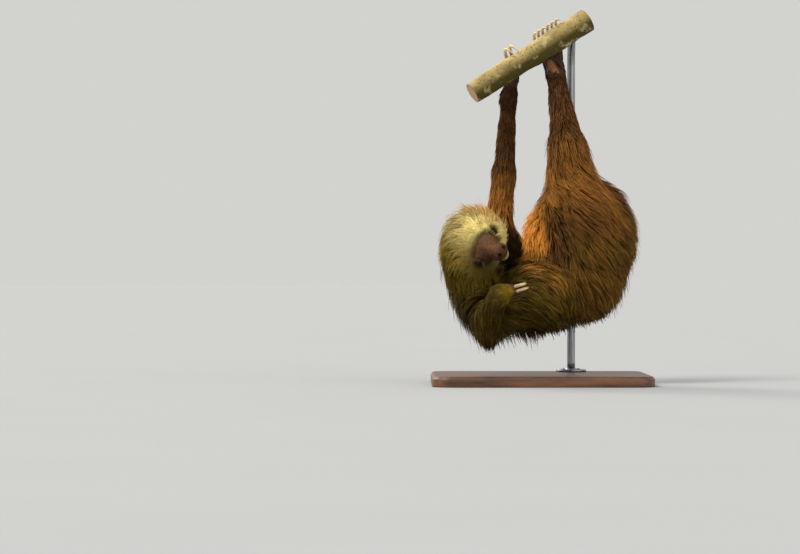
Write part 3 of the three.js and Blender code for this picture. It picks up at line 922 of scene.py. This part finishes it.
def grow_locks(roots, normal, known, guides, stations):
    """The line, width and tone of the lock at each root, with painted shade in the tone."""
    count = len(roots)
    index, pull = guides.near(roots, known["head"])
    parent = (pull[..., None] * guides.roots[index]).sum(1)
    path = (pull[..., None, None] * guides.paths[index]).sum(1)

    stray = rng.random(count) < STRAYS
    reach = rng.uniform(0.6, 1.1, count) + 0.12 * stray
    t = reach[:, None] * stations[None]
    gather = rng.uniform(0.3, 0.85, count) * (1 - 0.8 * stray)
    gather *= 1 - known["head"] * mixed(0.95, 0.5, ramp(known["hair"], 12, 45))
    gather = gather[:, None, None] * t[..., None] ** 1.3
    line = along_path(path, t) + (1 - gather) * (roots - parent)[:, None, :]

    layer = rng.uniform(0, 1, count) ** 1.6 * 0.8
    lift = (0.3 * stray - layer) * known["depth"]
    line = line + (lift[:, None] * t**0.8)[..., None] * normal[:, None, :]
    side = np.cross(normal, known["lie"])[:, None, :]
    bend = rng.normal(0, 1 + 2 * stray)[:, None] * t**1.4
    wave = 0.45 * np.sin(4.5 * t + rng.uniform(0, 6.3, (count, 1))) * t
    size = np.clip(known["hair"] / 24, 0.15, 2.2)[:, None]
    line = line + ((bend + wave) * size)[..., None] * side

    width = np.interp(known["hair"], [4, 20, 60], [0.6, 1.05, 1.6])
    width *= rng.uniform(0.75, 1.25, count) * (1 - 0.3 * known["head"])
    calm = 1 - 0.6 * np.maximum(known["head"], known["marks_and_shading"][:, 1])
    tone_and_shade = rng.normal(0, 0.15, count) + (pull * guides.tones[index]).sum(1) * calm
    # Painted shade: locks that lie deeper in the coat are darker, and so are places with shade.
    tone_and_shade = 0.5 + tone_and_shade * calm - 0.15 * (layer - 0.3) - 0.5 * known["shade"]
    return line, width, np.clip(tone_and_shade, 0, 1)


def make_coat(skin):
    """Long and short locks over the skin, in pieces by limb."""
    guides = Guides(skin)
    pieces = []
    for kind, (count, share_of, stations) in LOCKS.items():
        roots = root_places(skin, count, share_of)
        normal, known = frame_at(roots)
        line, width, tone_and_shade = grow_locks(roots, normal, known, guides, stations)
        group_of = np.array([bone.group for bone in BONES] + ["head"])[known["bone"]]
        for group in sorted(set(group_of)):
            mine = np.flatnonzero(group_of == group)
            for part, start in enumerate(range(0, len(mine), LOCKS_PER_PIECE)):
                some = mine[start : start + LOCKS_PER_PIECE]
                pieces.append(
                    lock_mesh(
                        f"coat_{group}_{kind}_{part + 1}", line[some], normal[some],
                        width[some], known["marks_and_shading"][some], tone_and_shade[some],
                        chart_places(roots[some], known["bone"][some]),
                    )
                )
    return pieces


# --------------------------------------------------------------- materials
class Nodes:
    """A material whose shader nodes are added and wired in one call each."""

    def __init__(self, name):
        self.material = bpy.data.materials.new(name)
        self.material.use_nodes = True
        self.tree = self.material.node_tree
        self.shader = self.tree.nodes["Principled BSDF"]

    def add(self, kind, *values, settings=None, **inputs):
        """A new node, its first inputs fed in order and others by name."""
        node = self.tree.nodes.new(kind)
        for key, value in (settings or {}).items():
            setattr(node, key, value)
        for socket, value in zip(node.inputs, values):
            self.feed(socket, value)
        for key, value in inputs.items():
            self.feed(node.inputs[key.replace("_", " ")], value)
        return node

    def feed(self, socket, value):
        if isinstance(value, bpy.types.NodeSocket):
            self.tree.links.new(value, socket)
        else:
            socket.default_value = value

    def math(self, operation, a, b=0.0):
        return self.add("ShaderNodeMath", a, b, settings={"operation": operation}).outputs[0]

    def mix(self, a, b, share, blend="MIX"):
        settings = {"data_type": "RGBA", "blend_type": blend}
        node = self.add("ShaderNodeMix", share, settings=settings)
        self.feed(node.inputs[6], a)
        self.feed(node.inputs[7], b)
        return node.outputs[2]

    def layers(self, colour, *over):
        """A colour with others laid over it, each by its own share."""
        for above, share in over:
            colour = self.mix(colour, above, share)
        return colour

    def noise(self, scale, detail=4.0, rough=0.5, vector=None):
        vector = vector or self.place()
        node = self.add("ShaderNodeTexNoise", vector, Scale=scale, Detail=detail, Roughness=rough)
        return node.outputs["Fac"]

    def place(self):
        return self.add("ShaderNodeTexCoord").outputs["Object"]

    def stretched(self, scale):
        return self.add("ShaderNodeMapping", Vector=self.place(), Scale=scale).outputs[0]

    def curve(self, value, low, high, to_low=0.0, to_high=1.0):
        return self.add("ShaderNodeMapRange", value, low, high, to_low, to_high).outputs[0]

    def attribute(self, name):
        return self.add("ShaderNodeAttribute", settings={"attribute_name": name})

    def number(self, name):
        return self.attribute(name).outputs["Fac"]

    def bump(self, height, strength, distance):
        node = self.add("ShaderNodeBump", Height=height, Strength=strength, Distance=distance)
        self.tree.links.new(node.outputs[0], self.shader.inputs["Normal"])

    def paint(self, **inputs):
        for key, value in inputs.items():
            self.feed(self.shader.inputs[key.replace("_", " ")], value)
        return self.material


def rgb(red, green, blue):
    """A colour from 0 to 255 in sRGB, as the linear colour Blender wants."""
    c = np.array([red, green, blue]) / 255
    linear = np.where(c <= 0.04045, c / 12.92, ((c + 0.055) / 1.055) ** 2.4)
    return (*linear, 1.0)


PALETTE = {
    "brown": rgb(108, 67, 28),
    "cream": rgb(255, 236, 156),
    "orange": rgb(250, 170, 70),
    "umber": rgb(58, 33, 13),
    "olive": rgb(163, 134, 18),
}


def coat_colour(nodes):
    """The markings that skin and coat share, with light and shade painted into them, read from a
    colour attribute.
    """
    marks_and_shading = nodes.attribute("marks_and_shading")
    parts = nodes.add("ShaderNodeSeparateColor", Color=marks_and_shading.outputs["Color"])
    patchy = nodes.curve(nodes.noise(38, 3), 0.3, 0.7, -0.12, 0.12)
    colour = PALETTE["brown"]
    for name, amount in (
        ("orange", parts.outputs[1]),
        ("umber", parts.outputs[2]),
        ("olive", marks_and_shading.outputs["Alpha"]),
        ("cream", parts.outputs[0]),
    ):
        uneven = nodes.math("MULTIPLY", amount, nodes.math("ADD", patchy, 1.0))
        limited = nodes.math("MINIMUM", nodes.math("MAXIMUM", uneven, 0.0), 1.0)
        colour = nodes.mix(colour, PALETTE[name], limited)
    return colour


def coat_material():
    nodes = Nodes("coat")
    colour = coat_colour(nodes)
    tone_and_shade = nodes.curve(nodes.number("tone_and_shade"), 0, 1, 0.32, 1.57)
    # Each lock darkens towards its root as painted shade and brightens at its tip as painted
    # light, over its tone.
    reach = nodes.curve(nodes.number("reach"), 0, 0.9, 0.45, 1.18)
    shade = nodes.math("MULTIPLY", tone_and_shade, reach)
    grey = nodes.add("ShaderNodeCombineColor", Red=shade, Green=shade, Blue=shade).outputs[0]
    colour = nodes.mix(colour, grey, 1.0, "MULTIPLY")
    return nodes.paint(Base_Color=colour, Roughness=0.55, Specular_IOR_Level=0.18)


def skin_material():
    nodes = Nodes("skin")
    under = nodes.mix(coat_colour(nodes), rgb(52, 36, 20), 0.55)
    mottle = nodes.curve(nodes.noise(240, 4), 0.3, 0.7)
    dark = nodes.number("dark")
    bare = nodes.layers(
        nodes.mix(rgb(80, 52, 32), rgb(110, 78, 52), mottle),
        (nodes.mix(rgb(44, 22, 11), rgb(68, 37, 20), mottle), nodes.curve(dark, 0, 1)),
        # Near-black painted shade inside the nostrils, and at half strength round the eyes.
        (rgb(14, 8, 5), nodes.curve(dark, 1, 2)),
        (rgb(160, 112, 70), nodes.curve(dark, 0, -1.4)),
    )
    fine = nodes.noise(1900, 3)
    pores = nodes.add("ShaderNodeTexVoronoi", Vector=nodes.place(), Scale=1400.0)
    height = nodes.math("ADD", nodes.math("MULTIPLY", fine, 0.6), pores.outputs["Distance"])
    nodes.bump(height, 0.5, 0.0006)
    return nodes.paint(
        Base_Color=nodes.mix(under, bare, nodes.number("bare")),
        Roughness=nodes.curve(nodes.number("bare"), 0, 1, 0.85, 0.58),
        Specular_IOR_Level=0.12,
    )


def eye_material():
    nodes = Nodes("eyeball")
    gaze = nodes.number("gaze")
    ring = nodes.add("ShaderNodeValToRGB", Fac=gaze)
    stops = ring.color_ramp.elements
    white, pupil = stops
    white.position, white.color = 0.55, rgb(70, 50, 40)
    pupil.position, pupil.color = 0.97, rgb(3, 3, 3)
    iris = {0.66: rgb(30, 18, 12), 0.74: rgb(74, 44, 24), 0.93: rgb(50, 28, 14)}
    for place, colour in iris.items():
        stops.new(place).color = colour
    return nodes.paint(
        Base_Color=ring.outputs["Color"], Roughness=0.12, Specular_IOR_Level=0.3,
    )


def claw_material():
    nodes = Nodes("claw_horn")
    reach = nodes.number("reach")
    place = nodes.add("ShaderNodeCombineXYZ", X=nodes.number("around"), Y=reach)
    streak = nodes.noise(5.5, 4, 0.6, place.outputs[0])
    colour = nodes.layers(
        rgb(138, 104, 72),
        (rgb(226, 204, 160), nodes.curve(reach, 0.0, 0.5)),
        (rgb(176, 144, 100), nodes.curve(reach, 0.78, 1.0)),
        (rgb(122, 92, 60), nodes.curve(streak, 0.48, 0.7, 0, 0.6)),
    )
    nodes.bump(streak, 0.35, 0.0005)
    return nodes.paint(
        Base_Color=colour, Roughness=0.36, Subsurface_Weight=0.12, Subsurface_Scale=0.002,
    )


def bark_material():
    """Smooth bark with lichen and dark specks, pale above as painted light and olive brown below
    as painted shade.
    """
    nodes = Nodes("bark")
    broad = nodes.noise(26, 5, 0.6)
    speckle = nodes.noise(230, 4, 0.65)
    lichen = nodes.noise(60, 4, 0.55)
    # Painted light on the perch's upper side and painted shade below it.
    over = nodes.curve(nodes.number("over"), -0.35, 1.0, 0.0, 0.95)
    over = nodes.math("MULTIPLY", over, nodes.curve(broad, 0.3, 0.6, 0.6, 1.15))
    colour = nodes.layers(
        rgb(74, 62, 8),
        (rgb(196, 172, 112), over),
        (rgb(204, 188, 140), nodes.curve(lichen, 0.56, 0.68, 0, 0.6)),
        (rgb(58, 46, 22), nodes.curve(speckle, 0.56, 0.66, 0, 0.85)),
    )
    height = nodes.math("ADD", nodes.math("MULTIPLY", speckle, 0.7), broad)
    nodes.bump(height, 0.6, 0.0016)
    return nodes.paint(Base_Color=colour, Roughness=0.82, Specular_IOR_Level=0.3)


def end_grain_material():
    nodes = Nodes("end_grain")
    rings = nodes.number("ring")
    wave = nodes.math("SINE", nodes.math("MULTIPLY", rings, 55.0))
    colour = nodes.layers(
        rgb(196, 166, 118),
        (rgb(150, 116, 74), nodes.curve(wave, -1, 1, 0, 0.7)),
        (rgb(92, 70, 42), nodes.curve(rings, 0.9, 0.99)),
    )
    nodes.bump(nodes.noise(900, 3), 0.4, 0.0005)
    return nodes.paint(Base_Color=colour, Roughness=0.7)


def timber_material():
    nodes = Nodes("base_timber")
    grain = nodes.noise(60, 6, 0.62, nodes.stretched((0.12, 1.6, 1.0)))
    pores = nodes.noise(700, 3, 0.6, nodes.stretched((0.06, 1.0, 1.0)))
    colour = nodes.layers(
        rgb(58, 36, 22),
        (rgb(112, 72, 44), nodes.curve(grain, 0.35, 0.66)),
        (rgb(34, 20, 12), nodes.curve(pores, 0.6, 0.72, 0, 0.7)),
    )
    nodes.bump(pores, 0.2, 0.0004)
    return nodes.paint(Base_Color=colour, Roughness=nodes.curve(grain, 0.3, 0.7, 0.34, 0.5))


def steel_material():
    nodes = Nodes("rod_steel")
    brushed = nodes.noise(500, 3, 0.5, nodes.stretched((1, 1, 0.03)))
    smudge = nodes.noise(30, 3)
    colour = nodes.mix(rgb(120, 122, 124), rgb(158, 160, 162), nodes.curve(brushed, 0.35, 0.65))
    scratched = nodes.curve(brushed, 0.3, 0.7, 0.2, 0.32)
    rough = nodes.math("ADD", scratched, nodes.curve(smudge, 0.4, 0.7, 0, 0.08))
    nodes.bump(brushed, 0.12, 0.0002)
    return nodes.paint(Base_Color=colour, Metallic=1.0, Roughness=rough)


# ----------------------------------------------------------- other pieces
def tube_faces(rings, sides):
    """Quads between rings of points, closed round each ring."""
    j = np.arange(sides)
    beside = (j + 1) % sides
    rows = [np.stack([j, beside, sides + beside, sides + j], 1) + sides * k
            for k in range(rings - 1)]
    return np.concatenate(rows)


def ringed(name, rows, inward=False):
    """A tube through rows of ring points."""
    faces = tube_faces(*rows.shape[:2])
    return mesh_object(name, rows.reshape(-1, 3), faces[:, ::-1] if inward else faces)


def close_ends(tube, sides, fanned=False):
    """Faces over a tube's first and last ring, fanned from their middles or flat."""
    shape = bmesh.new()
    shape.from_mesh(tube.data)
    shape.verts.ensure_lookup_table()
    last = len(shape.verts) - sides
    loops = (
        [shape.verts[i] for i in reversed(range(sides))],
        [shape.verts[last + i] for i in range(sides)],
    )
    for loop in loops:
        cap = shape.faces.new(loop)
        if fanned:
            bmesh.ops.poke(shape, faces=[cap])
    shape.to_mesh(tube.data)
    shape.free()


def swept(name, centres, side, offsets, closed_ends=True):
    """A tube with a ring of points round each centre, from (sideways, out) pairs."""
    tangent = unit(np.gradient(centres, axis=0))
    across = unit(side - (tangent @ side)[:, None] * tangent)
    out = np.cross(tangent, across)
    ring = (
        centres[:, None]
        + offsets[..., :1] * across[:, None]
        + offsets[..., 1:] * out[:, None]
    )
    made = ringed(name, ring)
    if closed_ends:
        close_ends(made, ring.shape[1], fanned=True)
    return made


def circle(sides):
    angle = np.linspace(0, 2 * np.pi, sides, endpoint=False)
    return np.stack([np.cos(angle), np.sin(angle)], 1)


def make_claw(name):
    """A tapering horn with a keel along its back, for one of the hooks."""
    rings, sides = 28, 14
    t = np.linspace(0, 1, rings)
    width, height = (6.2, 8.4) if "hand" in name else (5.4, 7.6)
    taper = 1 - (1 - 0.14) * t**2
    taper[-1] *= 0.55
    ring = circle(sides)
    keel = 1 + 0.1 * np.maximum(ring[:, 1], 0) ** 3
    offsets = 0.5 * np.stack([width * ring[:, 0], height * ring[:, 1] * keel], 1)
    side = ALONG_PERCH if name in HELD_CLAWS else vec(0, 0, 1)
    claw = swept(name + "_horn", claw_path(name, t), side, offsets[None] * taper[:, None, None])
    around = np.tile(3 * np.abs(ring[:, 0]) + ring[:, 1], rings)
    for key, value in (("reach", np.repeat(t, sides)), ("around", around)):
        extra = len(claw.data.vertices) - len(value)
        set_number(claw.data, key, np.pad(value, (0, extra), "edge"))
    return claw


def make_perch():
    """A cut branch with low knots, shallow dents and sawn ends."""
    rings, sides = 150, 96
    x = np.linspace(*PERCH_X, rings)
    centres = np.stack([perch_point(value) for value in x])
    ring = circle(sides)
    angle = np.arctan2(ring[:, 1], ring[:, 0])[None]
    bumps = sum(
        size * np.sin(m * angle + k * x[:, None] + phase)
        for size, m, k, phase in (
            (0.25, 3, 0.05, 0.4), (0.16, 5, -0.11, 2.1), (0.12, 9, 0.23, 4.0), (0.1, 2, 0.4, 1.2),
            (0.07, 17, -0.5, 3.3), (0.06, 23, 0.8, 0.1),
        )
    )
    knots = 0
    for at, turn in ((-96, 2.2), (-12, -1.2), (60, 2.6)):
        wide = np.angle(np.exp(1j * (angle - turn)))
        knots = knots + 1.2 * np.exp(-(((x[:, None] - at) / 5) ** 2) - (wide / 0.3) ** 2)
    radius = perch_radius(x)[:, None] + bumps + knots
    perch = swept("perch", centres, FAR_SIDE, ring[None] * radius[..., None], closed_ends=False)
    # 1 on the perch's upper side: it carries the bark's painted light and shade.
    set_number(perch.data, "over", np.tile(ring[:, 1], rings))

    rims = coordinates(perch.data).reshape(rings, sides, 3)
    shares = np.linspace(1, 0.01, 9)
    ends = []
    for end in (0, -1):
        rows = centres[end] + shares[:, None, None] * (rims[end] - centres[end])
        cap = ringed(f"perch_end_{len(ends) + 1}", rows, inward=end == 0)
        set_number(cap.data, "ring", np.repeat(shares, sides))
        ends.append(cap)
    return perch, ends


def make_eye(side):
    """A ball that bulges over the pupil, with `gaze` 1 where it looks."""
    ball = bmesh.new()
    bmesh.ops.create_uvsphere(ball, u_segments=40, v_segments=28, radius=MM)
    mesh = bpy.data.meshes.new("eyeball_left" if side == 1 else "eyeball_right")
    ball.to_mesh(mesh)
    ball.free()
    way = coordinates(mesh)
    facing = way @ eye_axes(side)[0]
    bulge = EYE_RADIUS + 0.35 * ramp(facing, 0.8, 1.0)
    mesh.vertices.foreach_set("co", flat((eye_place(side) + way * bulge[:, None]) * MM))
    mesh.polygons.foreach_set("use_smooth", np.ones(len(mesh.polygons), bool))
    mesh.update()
    set_number(mesh, "gaze", facing)
    return add_object(mesh.name, mesh)


ROD = {"radius": 7.0, "x": 61.0, "y": 112.0, "bend": 60.0, "foot": 24.6}
BASE = {"half_width": 190, "half_depth": 160, "corner": 34, "points_to_corner": 14}


def make_rod():
    """One bent rod, from its flange up behind the body and forward to the perch."""
    top, sides = perch_point(ROD["x"])[2], 40
    upright = [(ROD["x"], ROD["y"], z) for z in np.linspace(ROD["foot"], top - ROD["bend"], 60)]
    angle = np.radians(np.linspace(0, 90, 40)[1:])
    back = ROD["y"] - ROD["bend"] + ROD["bend"] * np.cos(angle)
    rise = top - ROD["bend"] + ROD["bend"] * np.sin(angle)
    bend = np.column_stack([np.full(len(angle), ROD["x"]), back, rise])
    centres = np.concatenate([upright, bend])
    offsets = np.broadcast_to(circle(sides) * ROD["radius"], (len(centres), sides, 2))
    return swept("rod", centres, vec(1, 0, 0), offsets)


def turned(name, profile, place, axis="Z", sides=64):
    """A solid of revolution with a profile of (radius, height) pairs."""
    profile = np.array(profile)
    ring = circle(sides)
    rows = np.stack([np.column_stack([r * ring, np.full(sides, h)]) for r, h in profile])
    if axis == "Y":
        rows = rows[..., [0, 2, 1]] * (-1, 1, 1)
    return ringed(name, rows + vec(*place))


def make_flange():
    profile = [(7.2, 24.4), (9.5, 24.4), (10.5, 23.9), (11, 22.6), (25.4, 22.4), (26.6, 21.8),
               (27, 20.6), (27, 18.2), (0.1, 18.2)]
    flange = turned("flange", profile[::-1], (ROD["x"], ROD["y"], 0))
    screw = [(0.05, 24.0), (1.0, 23.95), (1.1, 23.0), (2.0, 23.9), (3.0, 23.3), (3.3, 22.4),
             (3.3, 22)]
    screw_reach = 19
    screws = []
    for k in range(4):
        angle = np.pi / 4 + k * np.pi / 2
        x = ROD["x"] + screw_reach * np.cos(angle)
        place = (x, ROD["y"] + screw_reach * np.sin(angle), 0)
        screws.append(turned(f"flange_screw_{k + 1}", screw[::-1], place, sides=28))
    return flange, screws


def make_collar():
    top = perch_point(ROD["x"])
    end = ROD["y"] - ROD["bend"]
    profile = [(7.0, 1.4), (9.5, 1.2), (11.5, 0.3), (12.8, -0.9), (13, -2), (13, -12), (12.4, -13)]
    return turned("collar", profile, (top[0], end, top[2]), "Y")


def make_base():
    """The wooden base, with a rounded outline and a moulded top edge."""
    profile = [(0, 0), (0, 2), (0, 13.2), (0.5, 14.2), (1.6, 14.8), (2.2, 15.6), (2.6, 16.8),
               (3.6, 17.7), (5.0, 18.0), (60, 18.0), (130, 18.0)]
    angles = np.linspace(0, np.pi / 2, BASE["points_to_corner"])
    rows = []
    for inset, height in profile:
        r = max(BASE["corner"] - inset, 0.5)
        x, y = BASE["half_width"] - inset - r, BASE["half_depth"] - inset - r
        ring = []
        for quarter, (sx, sy) in enumerate(((1, 1), (-1, 1), (-1, -1), (1, -1))):
            turn = angles + quarter * np.pi / 2
            ring.append(np.column_stack([sx * x + r * np.cos(turn), sy * y + r * np.sin(turn)]))
        ring = np.concatenate(ring)
        rows.append(np.column_stack([ring, np.full(len(ring), height)]))
    base = ringed("base", np.stack(rows))
    close_ends(base, len(rows[0]))
    return base


# ---------------------------------------------------------------- assembly
def dress(piece, material):
    piece.data.materials.clear()
    piece.data.materials.append(material)
    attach(piece, "root")


FLESH_NODES = [
    "head", "muzzle", "nose", "jaw", "neck", "chest", "abdomen", "rump",
    "upper_arm_right", "forearm_right", "hand_right", "upper_arm_left", "forearm_left",
    "hand_left", "thigh_right", "shank_right", "foot_right", "thigh_left", "shank_left",
    "foot_left",
]

skin = make_skin()
dress(skin, skin_material())
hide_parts(*FLESH_NODES)

coat = coat_material()
for piece in make_coat(skin):
    dress(piece, coat)

eyes = eye_material()
for side, node in ((1, "eye_left"), (-1, "eye_right")):
    eye = make_eye(side)
    dress(eye, eyes)
    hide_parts(node)

horn = claw_material()
for node in [*HELD_CLAWS, *FREE_CLAWS]:
    claw = make_claw(node)
    dress(claw, horn)
    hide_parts(node)

perch, perch_ends = make_perch()
dress(perch, bark_material())
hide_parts("stand_perch")
end_grain = end_grain_material()
for end in perch_ends:
    dress(end, end_grain)

steel = steel_material()
rod_piece = make_rod()
dress(rod_piece, steel)
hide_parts("stand_rod", "stand_rod_bend")
flange_piece, screws = make_flange()
dress(flange_piece, steel)
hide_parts("stand_flange")
for screw in screws:
    dress(screw, steel)
collar_piece = make_collar()
dress(collar_piece, steel)
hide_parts("stand_collar")
base_piece = make_base()
dress(base_piece, timber_material())
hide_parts("stand_base")


# ------------------------------------------------------------------- stage
def make_floor():
    bpy.ops.mesh.primitive_circle_add(vertices=96, radius=60, fill_type="NGON")
    floor = bpy.context.object
    floor.name = "floor"
    nodes = Nodes("floor")
    faint = nodes.curve(nodes.noise(3, 3), 0.3, 0.7, 0.0, 0.5)
    colour = nodes.mix(rgb(173, 174.5, 177.5), rgb(170, 171.5, 174.5), faint)
    floor.data.materials.append(nodes.paint(Base_Color=colour, Roughness=0.95))


def add_light(name, come_from, strength, spread, colour):
    """A broad distant light, so the floor is lit evenly out to its edge."""
    lamp = bpy.data.lights.new(name, "SUN")
    lamp.energy = strength
    lamp.angle = np.radians(spread)
    lamp.color = colour
    turn = Vector(come_from).to_track_quat("Z", "Y")
    add_object(name, lamp).rotation_euler = turn.to_euler()


make_floor()
add_light("key", (-1.3, -1.0, 1.7), 2.2, 24, (1.0, 0.96, 0.88))
add_light("fill", (1.6, -1.6, 0.7), 0.7, 60, (1.0, 0.98, 0.92))
add_light("rim", (-1.0, 1.3, 1.1), 1.3, 24, (1.0, 0.97, 0.88))
world = bpy.data.worlds.new("studio")
world.use_nodes = True
world.node_tree.nodes["Background"].inputs["Color"].default_value = (0.98, 0.975, 0.95, 1)
world.node_tree.nodes["Background"].inputs["Strength"].default_value = 0.66
bpy.context.scene.world = world
bpy.context.scene.view_settings.view_transform = "Standard"
